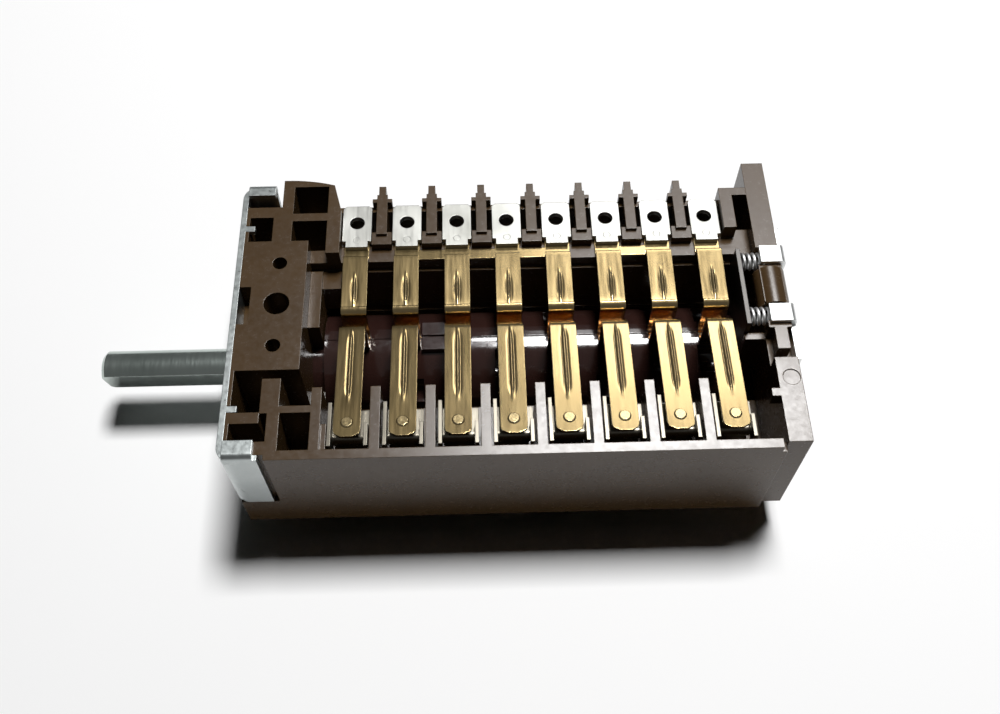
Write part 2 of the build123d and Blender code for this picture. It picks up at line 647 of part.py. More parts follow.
# Mounting plate: folded steel with two arms, two lugs and two threaded collars
with BuildPart() as mounting_plate:
    sheet_mid = PLATE_T / 2
    with BuildSketch(Plane.XY.offset(ARM_FOOT_Z)):
        with BuildLine():
            FilletPolyline(
                (NEAR_ARM_X, sheet_mid - BRACKET_HALF_W),
                (sheet_mid, sheet_mid - BRACKET_HALF_W),
                (sheet_mid, BRACKET_HALF_W - sheet_mid),
                (FAR_ARM_X, BRACKET_HALF_W - sheet_mid),
                radius=BRACKET_BEND_R,
            )
        trace(line_width=PLATE_T)
    extrude(amount=RIM_Z - ARM_FOOT_Z)
    # Lower shield with the sloped flanks
    with BuildSketch(Plane.YZ):
        shield_top = BRACKET_HALF_W - BRACKET_BEND_R - PLATE_T
        with BuildLine():
            Polyline(
                (-shield_top, ARM_FOOT_Z),
                (-SHIELD_HALF_W, SHIELD_KNEE_Z),
                (-SHIELD_FOOT_HALF_W, BOTTOM_Z),
                (SHIELD_FOOT_HALF_W, BOTTOM_Z),
                (SHIELD_HALF_W, SHIELD_KNEE_Z),
                (shield_top, ARM_FOOT_Z),
                close=True,
            )
        make_face()
    extrude(amount=PLATE_T)
    # Lugs folded over the rim
    for side, lug_y in ((-1, NEAR_LUG_Y), (1, FAR_LUG_Y)):
        with BuildSketch(Plane.YZ.offset(LUG_START_X)):
            with BuildLine():
                FilletPolyline(
                    (side * (BRACKET_HALF_W - sheet_mid), RIM_Z - PLATE_T),
                    (side * (BRACKET_HALF_W - sheet_mid), RIM_Z + sheet_mid),
                    (lug_y, RIM_Z + sheet_mid),
                    radius=LUG_BEND_R,
                )
            trace(line_width=PLATE_T)
        extrude(amount=LUG_END_X - LUG_START_X)
    # Small inward nubs that locate the plate on the head
    with BuildSketch(Plane.XY.offset(RIM_Z - PLATE_T)):
        with Locations((PLATE_T + NUB_L / 2, -NUB_Y), (PLATE_T + NUB_L / 2, NUB_Y)):
            Rectangle(NUB_L, NUB_W)
    extrude(amount=PLATE_T)
    # Threaded collars and the shaft's hole
    with BuildSketch(Plane.YZ.offset(PLATE_T)):
        with Locations((-HOLE_SPACING / 2, 0), (HOLE_SPACING / 2, 0)):
            Circle(COLLAR_R)
    extrude(amount=COLLAR_H)
    with BuildSketch(Plane.YZ):
        with Locations((-HOLE_SPACING / 2, 0), (HOLE_SPACING / 2, 0)):
            Circle(TAP_HOLE_R)
        Circle(SHAFT_R + SHAFT_CLEARANCE)
    extrude(amount=PLATE_T + COLLAR_H, mode=Mode.SUBTRACT)
finish(mounting_plate, "mounting_plate")

# Control shaft with its flat, which is turned a little downwards at rest
with BuildPart() as shaft:
    with BuildSketch(Plane.YZ.offset(-SHAFT_OUT)):
        Circle(SHAFT_R)
    extrude(amount=SHAFT_OUT + SHAFT_SHOULDER_X)
    chamfer(shaft.faces().sort_by(Axis.X)[0].edges(), SHAFT_CHAMFER)
    # Thinner seat in the drum
    with BuildSketch(Plane.YZ.offset(SHAFT_SHOULDER_X)):
        Circle(SHAFT_SEAT_R)
    extrude(amount=SHAFT_IN - SHAFT_SHOULDER_X)
    flat_dir = math.radians(FLAT_TILT)
    flat_reach = SHAFT_FLAT + SHAFT_R / 2
    with BuildSketch(Plane.YZ.offset(-SHAFT_OUT)):
        with Locations((-flat_reach * math.cos(flat_dir), -flat_reach * math.sin(flat_dir))):
            Rectangle(SHAFT_R, 2 * SHAFT_R, rotation=FLAT_TILT)
    extrude(amount=SHAFT_OUT + FLAT_END_X, mode=Mode.SUBTRACT)
finish(shaft, "shaft")

# Switching program: crown steps at which each contact closes, counted from the top
PROGRAM = (
    (3, 4, 8),
    (2, 5, 9),
    (4, 6, 7),
    (1, 5, 10),
    (3, 8, 11),
    (2, 6, 9),
    (4, 7, 10),
    (1, 6, 11),
)
STEP_ANGLE = 360 / CROWN_STEPS

# Cam drum: moulded, with a scooped valley wherever a contact closes
with BuildPart() as cam_drum:
    with BuildSketch(Plane.YZ.offset(DRUM_START_X)):
        Circle(DRUM_R)
    extrude(amount=DRUM_END_X - DRUM_START_X)
    for i, steps in enumerate(PROGRAM):
        with BuildSketch(Plane.YZ.offset(contact_x(i) - VALLEY_W / 2)):
            for step in steps:
                turn = math.radians(90 + step * STEP_ANGLE)
                reach = DRUM_R - VALLEY_DEPTH + VALLEY_R
                with Locations((reach * math.cos(turn), reach * math.sin(turn))):
                    Circle(VALLEY_R)
        extrude(amount=VALLEY_W, mode=Mode.SUBTRACT)
    # Flat-topped pad between the second and the third contact
    with BuildSketch(Plane.XY):
        with Locations(((PAD_NEAR_X + PAD_FAR_X) / 2, 0)):
            Rectangle(PAD_FAR_X - PAD_NEAR_X, 2 * PAD_HALF_W)
    extrude(amount=PAD_Z)
    # Parting line of the mould along the top
    with BuildSketch(Plane.XY.offset(DRUM_R - PARTING_DEPTH)):
        with Locations(((DRUM_START_X + DRUM_END_X) / 2, 0)):
            Rectangle(DRUM_END_X - DRUM_START_X, PARTING_W)
    extrude(amount=PAD_Z - DRUM_R + PARTING_DEPTH, mode=Mode.SUBTRACT)
    # Front and rear journals
    with BuildSketch(Plane.YZ.offset(WEB_X + RUNNING)):
        Circle(FRONT_JOURNAL_R)
    extrude(amount=DRUM_START_X - WEB_X - RUNNING)
    with BuildSketch(Plane.YZ.offset(DRUM_END_X)):
        Circle(REAR_JOURNAL_R)
    extrude(amount=REAR_JOURNAL_END_X - DRUM_END_X)
    # Crown with radial grooves in the rear ring
    with BuildSketch(Plane.YZ.offset(DRUM_END_X)):
        Circle(DRUM_R)
        Circle(CROWN_INNER_R, mode=Mode.SUBTRACT)
    extrude(amount=CROWN_H)
    for step in range(CROWN_STEPS):
        groove_dir = Vector(0, 0, 1).rotate(Axis.X, step * STEP_ANGLE)
        groove_at = Vector(DRUM_END_X + CROWN_H, 0, 0) + groove_dir * (REAR_JOURNAL_R + RUNNING)
        with BuildSketch(Plane(origin=groove_at, x_dir=(1, 0, 0), z_dir=groove_dir)):
            Circle(CROWN_GROOVE_R)
        extrude(amount=DRUM_R, mode=Mode.SUBTRACT)
    # Bore of the shaft
    with BuildSketch(Plane.YZ.offset(WEB_X)):
        Circle(SHAFT_SEAT_R)
    extrude(amount=SHAFT_IN - WEB_X, mode=Mode.SUBTRACT)
finish(cam_drum, "cam_drum")

# Spring blades: brass strip with a deep follower over the drum and two stiffening beads
blade_mid = BLADE_T / 2
follower_far_top = FOLLOWER_FAR_Y + FOLLOWER_LEAN
follower_near_top = FOLLOWER_NEAR_Y - FOLLOWER_LEAN
for name, (first, last) in BLADE_GROUPS.items():
    with BuildPart() as blade:
        with BuildSketch(Plane.YZ.offset(contact_x(first) - BLADE_W / 2)):
            with BuildLine():
                FilletPolyline(
                    (BLADE_ROOT_Y, LEDGE_Z + blade_mid),
                    (LEDGE_Y, LEDGE_Z + blade_mid),
                    (follower_far_top, blade_centre_z(follower_far_top)),
                    (FOLLOWER_FAR_Y - FOLLOWER_LEAN, FOLLOWER_Z + blade_mid),
                    (FOLLOWER_NEAR_Y + FOLLOWER_LEAN, FOLLOWER_Z + blade_mid),
                    (follower_near_top, blade_centre_z(follower_near_top)),
                    (BLADE_TIP_Y, blade_centre_z(BLADE_TIP_Y)),
                    radius=(ROOT_BEND_R, FOLLOWER_BEND_R, FOLLOWER_BEND_R, FOLLOWER_BEND_R, FOLLOWER_BEND_R),
                )
            trace(line_width=BLADE_T)
        extrude(amount=contact_x(last) - contact_x(first) + BLADE_W)
        with BuildSketch(Plane.XY):
            for i in range(first, last + 1):
                with Locations((contact_x(i), (BLADE_ROOT_Y + BLADE_TIP_Y) / 2)):
                    RectangleRounded(BLADE_W, BLADE_ROOT_Y - BLADE_TIP_Y, BLADE_TIP_R)
            if last > first:
                with Locations(((contact_x(first) + contact_x(last)) / 2, (COMB_NEAR_Y + COMB_FAR_Y) / 2)):
                    Rectangle(contact_x(last) - contact_x(first), COMB_FAR_Y - COMB_NEAR_Y)
        extrude(amount=RIM_Z + PLATE_T, mode=Mode.INTERSECT)
        for i in range(first, last + 1):
            for near_y, far_y in (LONG_BEAD, SHORT_BEAD):
                middle_y = (near_y + far_y) / 2
                bead_plane = Plane(
                    origin=(contact_x(i), middle_y, blade_centre_z(middle_y)),
                    x_dir=(1, 0, 0),
                    z_dir=(0, BLADE_SLOPE, 1),
                )
                with BuildSketch(bead_plane):
                    SlotOverall(far_y - near_y, BEAD_W, rotation=90)
                extrude(amount=blade_mid + BEAD_H, taper=BEAD_TAPER)
            tip_plane = Plane(
                origin=(contact_x(i), CONTACT_Y, blade_z(CONTACT_Y)),
                x_dir=(1, 0, 0),
                z_dir=(0, BLADE_SLOPE, 1),
            )
            with BuildSketch(tip_plane.offset(-BLADE_T)):
                Circle(CONTACT_SHANK_R)
            extrude(amount=3 * BLADE_T, mode=Mode.SUBTRACT)
            with BuildSketch(Plane.XY.offset(LEDGE_Z)):
                with Locations((contact_x(i), TERMINAL_RIVET_Y)):
                    Circle(RIVET_SHANK_R)
            extrude(amount=BLADE_T, mode=Mode.SUBTRACT)
    finish(blade, name)

# Contact rivets of the blades: head below, shank through the blade, peened above
with BuildPart() as moving_contact_rivets:
    for i in range(CONTACTS):
        tip_plane = Plane(
            origin=(contact_x(i), CONTACT_Y, blade_z(CONTACT_Y)),
            x_dir=(1, 0, 0),
            z_dir=(0, BLADE_SLOPE, 1),
        )
        with BuildSketch(tip_plane):
            Circle(CONTACT_R)
        extrude(amount=-CONTACT_H)
        with BuildSketch(tip_plane):
            Circle(CONTACT_SHANK_R)
        extrude(amount=BLADE_T)
        with BuildSketch(tip_plane.offset(BLADE_T)):
            Circle(PEEN_R)
        extrude(amount=PEEN_H, taper=BEAD_TAPER)
finish(moving_contact_rivets, "moving_contact_rivets")

# Contact rivets of the fixed strips
with BuildPart() as fixed_contact_rivets:
    for i in range(CONTACTS):
        with BuildSketch(Plane.XY.offset(SEAT_TOP_Z)):
            with Locations((contact_x(i), CONTACT_Y)):
                Circle(CONTACT_R)
        extrude(amount=CONTACT_H)
        with BuildSketch(Plane.XY.offset(SEAT_Z)):
            with Locations((contact_x(i), CONTACT_Y)):
                Circle(CONTACT_SHANK_R)
        extrude(amount=SEAT_T)
finish(fixed_contact_rivets, "fixed_contact_rivets")

# Input terminals
for i in range(CONTACTS):
    with BuildPart() as terminal:
        with BuildSketch(Plane.XY.offset(TERMINAL_Z)):
            shoulder_y = TERMINAL_NEAR_Y + TERMINAL_NECK_L
            with Locations((contact_x(i), (shoulder_y + TERMINAL_FAR_Y) / 2)):
                blank = Rectangle(TERMINAL_W, TERMINAL_FAR_Y - shoulder_y)
            chamfer(blank.vertices().group_by(Axis.Y)[-1], TERMINAL_CORNER)
            with Locations((contact_x(i), TERMINAL_NEAR_Y + TERMINAL_NECK_L / 2)):
                Rectangle(TERMINAL_NECK_W, TERMINAL_NECK_L)
            with Locations((contact_x(i), TERMINAL_HOLE_Y)):
                Circle(TERMINAL_HOLE_R, mode=Mode.SUBTRACT)
            with Locations((contact_x(i), TERMINAL_RIVET_Y)):
                Circle(RIVET_SHANK_R, mode=Mode.SUBTRACT)
        extrude(amount=TERMINAL_T)
    finish(terminal, f"input_terminal_{i + 1}")

# Rivets that join each blade to its terminal, flush on top
with BuildPart() as terminal_rivets:
    with BuildSketch(Plane.XY.offset(LEDGE_Z)):
        for i in range(CONTACTS):
            with Locations((contact_x(i), TERMINAL_RIVET_Y)):
                Circle(RIVET_SHANK_R)
    extrude(amount=BLADE_T + TERMINAL_T)
    with BuildSketch(Plane.XY.offset(LEDGE_Z)):
        for i in range(CONTACTS):
            with Locations((contact_x(i), TERMINAL_RIVET_Y)):
                Circle(RIVET_HEAD_R)
    extrude(amount=-RIVET_HEAD_H)
finish(terminal_rivets, "terminal_rivets")

# Fixed contacts: seat and ears in the well, leg through the floor, output tab below
for i in range(CONTACTS):
    x = contact_x(i)
    with BuildPart() as strip:
        with BuildSketch(Plane.YZ.offset(x - SEAT_HALF_W)):
            with BuildLine():
                FilletPolyline(
                    (SEAT_FAR_Y, SEAT_Z + SEAT_T / 2),
                    (LEG_Y, SEAT_Z + SEAT_T / 2),
                    (LEG_Y, SEAT_Z - SEAT_T),
                    radius=SEAT_BEND_R,
                )
            trace(line_width=SEAT_T)
        extrude(amount=2 * SEAT_HALF_W)
        with BuildSketch(Plane.XZ.offset(-SEAT_NEAR_Y - SEAT_T)):
            with Locations((x, (TAB_END_Z + SEAT_Z - SEAT_T) / 2)):
                leg = Rectangle(LEG_W, SEAT_Z - SEAT_T - TAB_END_Z)
            chamfer(leg.vertices().group_by(Axis.Z)[0], TAB_CORNER)
            with Locations((x, TAB_HOLE_Z)):
                Circle(TAB_HOLE_R, mode=Mode.SUBTRACT)
        extrude(amount=SEAT_T)
        for side, far_y in ((-1, EAR_LONG_FAR_Y), (1, EAR_SHORT_FAR_Y)):
            with BuildSketch(Plane.XY.offset(SEAT_Z)):
                with Locations((x + side * (SEAT_HALF_W - EAR_T / 2), (EAR_NEAR_Y + far_y) / 2)):
                    Rectangle(EAR_T, far_y - EAR_NEAR_Y)
            extrude(amount=EAR_TOP_Z - SEAT_Z)
        with BuildSketch(Plane.XY.offset(SEAT_Z)):
            with Locations((x, CONTACT_Y)):
                Circle(CONTACT_SHANK_R)
        extrude(amount=SEAT_T, mode=Mode.SUBTRACT)
    finish(strip, f"fixed_contact_{i + 1}")

# Detent plate with its nose in the crown
with BuildPart() as detent_plate:
    with BuildSketch(Plane.YZ.offset(DETENT_X)):
        with Locations(((DETENT_NEAR_Y + DETENT_FAR_Y) / 2, (DETENT_FOOT_Z + DETENT_TOP_Z) / 2)):
            Rectangle(DETENT_FAR_Y - DETENT_NEAR_Y, DETENT_TOP_Z - DETENT_FOOT_Z)
    extrude(amount=DETENT_T)
    with BuildSketch(Plane.XY.offset(DETENT_FOOT_Z)):
        with Locations((DRUM_END_X + CROWN_H, 0)):
            Circle(NOSE_R)
    extrude(amount=NOSE_TOP_Z - DETENT_FOOT_Z)
finish(detent_plate, "detent_plate")

# Detent springs
spring_start_x = DETENT_X + DETENT_T + SPRING_WIRE_R
spring_length = TROUGH_END_X - SPRING_WIRE_R - spring_start_x
for name, y in (("detent_spring_near", SPRING_NEAR_Y), ("detent_spring_far", SPRING_FAR_Y)):
    with BuildPart() as spring:
        with BuildLine() as coil:
            Helix(
                pitch=spring_length / SPRING_TURNS,
                height=spring_length,
                radius=SPRING_R - SPRING_WIRE_R,
                center=(spring_start_x, y, SPRING_Z),
                direction=(1, 0, 0),
            )
        with BuildSketch(Plane(origin=coil.line @ 0, z_dir=coil.line % 0)):
            RegularPolygon(SPRING_WIRE_R, SPRING_WIRE_SIDES)
        sweep(is_frenet=True)
    finish(spring, name)

# Rear clip: outer plate with two fingers folded over the spring troughs
with BuildPart() as rear_clip:
    with BuildSketch(Plane.YZ.offset(END_OUTER_X)):
        with Locations(((CLIP_NEAR_Y + CLIP_FAR_Y) / 2, (CLIP_FOOT_Z + CLIP_NOTCH_Z) / 2)):
            Rectangle(CLIP_FAR_Y - CLIP_NEAR_Y, CLIP_NOTCH_Z - CLIP_FOOT_Z)
        with Locations(((CLIP_NEAR_Y + FINGER_NEAR_Y) / 2, (CLIP_FOOT_Z + RIM_Z) / 2)):
            Rectangle(FINGER_NEAR_Y - CLIP_NEAR_Y, RIM_Z - CLIP_FOOT_Z - WALL)
        with Locations(((FINGER_FAR_Y + FINGER_W + CLIP_FAR_Y) / 2, (CLIP_FOOT_Z + RIM_Z) / 2)):
            Rectangle(CLIP_FAR_Y - FINGER_FAR_Y - FINGER_W, RIM_Z - CLIP_FOOT_Z - WALL)
    extrude(amount=CLIP_T)
    for finger_y in (FINGER_NEAR_Y, FINGER_FAR_Y):
        with BuildSketch(Plane.XZ.offset(-finger_y)):
            with BuildLine():
                FilletPolyline(
                    (END_OUTER_X + CLIP_T / 2, CLIP_NOTCH_Z - CLIP_T),
                    (END_OUTER_X + CLIP_T / 2, RIM_Z + CLIP_T / 2),
                    (FINGER_START_X, RIM_Z + CLIP_T / 2),
                    radius=FINGER_BEND_R,
                )
            trace(line_width=CLIP_T)
        extrude(amount=-FINGER_W)
finish(rear_clip, "rear_clip")
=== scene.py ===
"""Looks of the oven selector switch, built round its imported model."""

import logging
import math
from dataclasses import dataclass, field
from enum import Enum

import bmesh
import bpy
from mathutils import Matrix, Vector

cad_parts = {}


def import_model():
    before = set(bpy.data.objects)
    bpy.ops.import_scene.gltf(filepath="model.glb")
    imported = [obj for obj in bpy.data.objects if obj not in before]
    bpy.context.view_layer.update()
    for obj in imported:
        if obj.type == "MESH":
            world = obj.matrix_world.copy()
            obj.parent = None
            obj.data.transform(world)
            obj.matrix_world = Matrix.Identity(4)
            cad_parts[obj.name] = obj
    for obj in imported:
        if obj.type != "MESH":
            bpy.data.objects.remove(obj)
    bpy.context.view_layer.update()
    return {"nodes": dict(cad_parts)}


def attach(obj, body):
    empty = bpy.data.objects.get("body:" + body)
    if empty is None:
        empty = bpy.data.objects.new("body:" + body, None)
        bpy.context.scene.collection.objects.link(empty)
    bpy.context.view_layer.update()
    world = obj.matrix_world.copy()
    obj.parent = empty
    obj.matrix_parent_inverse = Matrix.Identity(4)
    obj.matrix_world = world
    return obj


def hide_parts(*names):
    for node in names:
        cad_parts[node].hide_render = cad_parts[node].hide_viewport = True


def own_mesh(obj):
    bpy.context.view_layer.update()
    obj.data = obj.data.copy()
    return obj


LOG = logging.getLogger("selector_switch")

Colour = tuple[float, float, float]
Nodes = dict[str, bpy.types.Object]

MM = 0.001
PITCH = 7.1 * MM  # from one contact to the next
FIRST_X = 16.3 * MM  # middle of the first contact
MERGE_DISTANCE = 1e-7  # in metres
MARKS_RANGE = (0.3, 0.7)  # where the fine marks' values lie
BUMP_DEPTH = 0.02 * MM
# mesh layer that holds the painted shade inside the blades' folds
PAINTED_FOLD_SHADE = "painted_fold_shade"


class Body(Enum):
    """Rigid body that a new piece rides on."""

    BASE = "base"


class Lay(Enum):
    """Direction in which a surface's fine marks run, as their scale along X, Y and Z."""

    EVEN = (1.0, 1.0, 1.0)
    ALONG_X = (0.04, 1.0, 1.0)
    ALONG_Y = (1.0, 0.05, 1.0)
    ROUND_X = (1.0, 0.12, 0.12)


def socket(node: bpy.types.Node, name: str) -> bpy.types.NodeSocket:
    """Input socket of a node by its name."""
    return node.inputs[name]


@dataclass(frozen=True)
class EffectSizes:
    """Sizes of the shared effects, with the edge radius in metres."""

    edge_radius: float = 0.12 * MM
    edge_samples: int = 6
    edge_sharpness: float = 9.0
    marks_scale: float = 2000.0
    marks_detail: float = 5.0
    marks_roughness: float = 0.62
    cloud_scale: float = 170.0
    cloud_detail: float = 3.0
    speck_scale: float = 1800.0
    speck_core: float = 0.05
    speck_rim: float = 0.22


class NodeGroups:
    """Shared effects, each a shader node group that is built once."""

    def __init__(self, sizes: EffectSizes) -> None:
        """Build the three effects.

        Args:
            sizes: the sizes that they are built with.
        """
        self.sizes = sizes
        self.edges = self.build_edges()
        self.grain = self.build_grain()
        self.mottle = self.build_mottle()

    @staticmethod
    def start(name: str, inputs: list[tuple[str, str, float]],
              outputs: list[tuple[str, str]]) -> bpy.types.NodeTree:
        """Open a new group with its sockets.

        Args:
            name: name of the group.
            inputs: name, kind and default of each input.
            outputs: name and kind of each output.

        Returns:
            The node tree with an input and an output node in it.
        """
        tree = bpy.data.node_groups.new(name, "ShaderNodeTree")
        for label, kind, default in inputs:
            made = tree.interface.new_socket(label, in_out="INPUT", socket_type=kind)
            if kind == "NodeSocketFloat":
                made.default_value = default
        for label, kind in outputs:
            tree.interface.new_socket(label, in_out="OUTPUT", socket_type=kind)
        tree.nodes.new("NodeGroupInput").name = "In"
        tree.nodes.new("NodeGroupOutput").name = "Out"
        return tree

    def build_edges(self) -> bpy.types.NodeTree:
        """Rounded edge normals and a mask of the edges.

        Returns:
            A group with the outputs Normal and Mask.
        """
        tree = self.start(
            "soft_edges",
            [("Sharpness", "NodeSocketFloat", self.sizes.edge_sharpness)],
            [("Normal", "NodeSocketVector"), ("Mask", "NodeSocketFloat")],
        )
        nodes, links = tree.nodes, tree.links
        bevel = nodes.new("ShaderNodeBevel")
        bevel.samples = self.sizes.edge_samples
        socket(bevel, "Radius").default_value = self.sizes.edge_radius
        flat = nodes.new("ShaderNodeNewGeometry")
        dot = nodes.new("ShaderNodeVectorMath")
        dot.operation = "DOT_PRODUCT"
        links.new(bevel.outputs["Normal"], dot.inputs[0])
        links.new(flat.outputs["Normal"], dot.inputs[1])
        turned = nodes.new("ShaderNodeMath")
        turned.operation = "SUBTRACT"
        turned.inputs[0].default_value = 1.0
        links.new(dot.outputs["Value"], turned.inputs[1])
        scaled = nodes.new("ShaderNodeMath")
        scaled.operation = "MULTIPLY"
        scaled.use_clamp = True
        links.new(turned.outputs[0], scaled.inputs[0])
        links.new(nodes["In"].outputs["Sharpness"], scaled.inputs[1])
        links.new(bevel.outputs["Normal"], nodes["Out"].inputs["Normal"])
        links.new(scaled.outputs[0], nodes["Out"].inputs["Mask"])
        return tree

    def build_grain(self) -> bpy.types.NodeTree:
        """Fine marks that run one way, such as rolling, turning or moulding marks.

        Returns:
            A group with the output Marks.
        """
        tree = self.start(
            "fine_marks",
            [("Vector", "NodeSocketVector", 0.0),
             ("Scale", "NodeSocketFloat", self.sizes.marks_scale)],
            [("Marks", "NodeSocketFloat")],
        )
        nodes, links = tree.nodes, tree.links
        noise = nodes.new("ShaderNodeTexNoise")
        socket(noise, "Detail").default_value = self.sizes.marks_detail
        socket(noise, "Roughness").default_value = self.sizes.marks_roughness
        links.new(nodes["In"].outputs["Vector"], socket(noise, "Vector"))
        links.new(nodes["In"].outputs["Scale"], socket(noise, "Scale"))
        links.new(noise.outputs["Fac"], nodes["Out"].inputs["Marks"])
        return tree

    def build_mottle(self) -> bpy.types.NodeTree:
        """Slow cloudy change with small specks in it.

        Returns:
            A group with the outputs Clouds and Specks.
        """
        tree = self.start(
            "mottle",
            [("Vector", "NodeSocketVector", 0.0),
             ("Speck Scale", "NodeSocketFloat", self.sizes.speck_scale)],
            [("Clouds", "NodeSocketFloat"), ("Specks", "NodeSocketFloat")],
        )
        nodes, links = tree.nodes, tree.links
        clouds = nodes.new("ShaderNodeTexNoise")
        socket(clouds, "Scale").default_value = self.sizes.cloud_scale
        socket(clouds, "Detail").default_value = self.sizes.cloud_detail
        cells = nodes.new("ShaderNodeTexVoronoi")
        links.new(nodes["In"].outputs["Speck Scale"], socket(cells, "Scale"))
        ramp = nodes.new("ShaderNodeMapRange")
        socket(ramp, "From Min").default_value = self.sizes.speck_core
        socket(ramp, "From Max").default_value = self.sizes.speck_rim
        socket(ramp, "To Min").default_value = 1.0
        socket(ramp, "To Max").default_value = 0.0
        for node in (clouds, cells):
            links.new(nodes["In"].outputs["Vector"], socket(node, "Vector"))
        links.new(cells.outputs["Distance"], socket(ramp, "Value"))
        links.new(clouds.outputs["Fac"], nodes["Out"].inputs["Clouds"])
        links.new(ramp.outputs[0], nodes["Out"].inputs["Specks"])
        return tree


@dataclass(frozen=True)
class Finish:
    """One surface finish, made into a material with marks, mottle, worn edges and, where a layer is
    given, painted shade.
    """

    name: str
    light: Colour
    dark: Colour
    edge: Colour
    metallic: float
    roughness: float
    spread: float
    marks_scale: float
    lay: Lay
    bump: float
    edge_amount: float
    speck_amount: float = 0.0
    speck_colour: Colour = (0.2, 0.16, 0.1)
    # painted shade: the colour darkens by this mesh layer to the colour below
    painted_shade_layer: str = ""
    painted_shade_colour: Colour = (0.1, 0.06, 0.03)
    gloss: float = 0.5

    def mix(self, tree: bpy.types.NodeTree, factor: bpy.types.NodeSocket, amount: float,
            first: bpy.types.NodeSocket | Colour, second: Colour) -> bpy.types.NodeSocket:
        """Mix two colours by a mask.

        Args:
            tree: the material's node tree.
            factor: the mask.
            amount: how far the mask reaches.
            first: colour or socket at mask 0.
            second: colour at mask 1.

        Returns:
            The mixed colour's socket.
        """
        scale = tree.nodes.new("ShaderNodeMath")
        scale.operation = "MULTIPLY"
        scale.use_clamp = True
        scale.inputs[1].default_value = amount
        tree.links.new(factor, scale.inputs[0])
        mix = tree.nodes.new("ShaderNodeMix")
        mix.data_type = "RGBA"
        tree.links.new(scale.outputs[0], mix.inputs["Factor"])
        if isinstance(first, tuple):
            mix.inputs["A"].default_value = (*first, 1.0)
        else:
            tree.links.new(first, mix.inputs["A"])
        mix.inputs["B"].default_value = (*second, 1.0)
        return mix.outputs["Result"]

    def material(self, groups: NodeGroups) -> bpy.types.Material:
        """Make the material.

        Args:
            groups: the shared effects.

        Returns:
            The finished material.
        """
        made = bpy.data.materials.new(self.name)
        made.use_nodes = True
        tree = made.node_tree
        nodes, links = tree.nodes, tree.links
        shader = nodes["Principled BSDF"]
        place = nodes.new("ShaderNodeTexCoord")
        turn = nodes.new("ShaderNodeMapping")
        socket(turn, "Scale").default_value = self.lay.value
        links.new(place.outputs["Object"], socket(turn, "Vector"))
        marks = nodes.new("ShaderNodeGroup")
        marks.node_tree = groups.grain
        socket(marks, "Scale").default_value = self.marks_scale
        links.new(turn.outputs["Vector"], socket(marks, "Vector"))
        mottle = nodes.new("ShaderNodeGroup")
        mottle.node_tree = groups.mottle
        links.new(place.outputs["Object"], socket(mottle, "Vector"))
        edges = nodes.new("ShaderNodeGroup")
        edges.node_tree = groups.edges

        colour = self.mix(tree, mottle.outputs["Clouds"], 1.0, self.light, self.dark)
        colour = self.mix(tree, mottle.outputs["Specks"], self.speck_amount, colour, self.speck_colour)
        colour = self.mix(tree, edges.outputs["Mask"], self.edge_amount, colour, self.edge)
        # painted shade: the colour darkens where the mesh layer is high
        if self.painted_shade_layer:
            shade = nodes.new("ShaderNodeAttribute")
            shade.attribute_name = self.painted_shade_layer
            colour = self.mix(tree, shade.outputs["Fac"], 1.0, colour, self.painted_shade_colour)
        links.new(colour, socket(shader, "Base Color"))

        rough = nodes.new("ShaderNodeMapRange")
        socket(rough, "From Min").default_value = MARKS_RANGE[0]
        socket(rough, "From Max").default_value = MARKS_RANGE[1]
        socket(rough, "To Min").default_value = self.roughness - self.spread
        socket(rough, "To Max").default_value = self.roughness + self.spread
        links.new(marks.outputs["Marks"], socket(rough, "Value"))
        links.new(rough.outputs[0], socket(shader, "Roughness"))

        bump = nodes.new("ShaderNodeBump")
        socket(bump, "Strength").default_value = self.bump
        socket(bump, "Distance").default_value = BUMP_DEPTH
        links.new(marks.outputs["Marks"], socket(bump, "Height"))
        links.new(edges.outputs["Normal"], socket(bump, "Normal"))
        links.new(bump.outputs["Normal"], socket(shader, "Normal"))
        socket(shader, "Metallic").default_value = self.metallic
        socket(shader, "Specular IOR Level").default_value = self.gloss
        return made


BROWN = Finish(
    "brown_thermoset", light=(0.066, 0.037, 0.014), dark=(0.044, 0.024, 0.009), edge=(0.2, 0.15, 0.09),
    metallic=0.0, roughness=0.25, spread=0.04, marks_scale=1400.0, lay=Lay.EVEN, bump=0.07,
    edge_amount=0.26, speck_amount=0.07, speck_colour=(0.11, 0.075, 0.045), gloss=0.22,
)
DARK = Finish(
    "dark_thermoset", light=(0.030, 0.013, 0.010), dark=(0.017, 0.007, 0.006), edge=(0.1, 0.07, 0.06),
    metallic=0.0, roughness=0.11, spread=0.03, marks_scale=1200.0, lay=Lay.EVEN, bump=0.08,
    edge_amount=0.25, speck_amount=0.06, speck_colour=(0.07, 0.04, 0.03),
)
ZINC = Finish(
    "zinc_steel", light=(0.50, 0.53, 0.52), dark=(0.33, 0.36, 0.36), edge=(0.92, 0.93, 0.92),
    metallic=1.0, roughness=0.33, spread=0.07, marks_scale=1500.0, lay=Lay.EVEN, bump=0.12,
    edge_amount=0.4,
)
SHAFT = Finish(
    "shaft_steel", light=(0.55, 0.61, 0.58), dark=(0.36, 0.42, 0.39), edge=(0.9, 0.92, 0.9),
    metallic=1.0, roughness=0.2, spread=0.05, marks_scale=2600.0, lay=Lay.ROUND_X, bump=0.25,
    edge_amount=0.4,
)
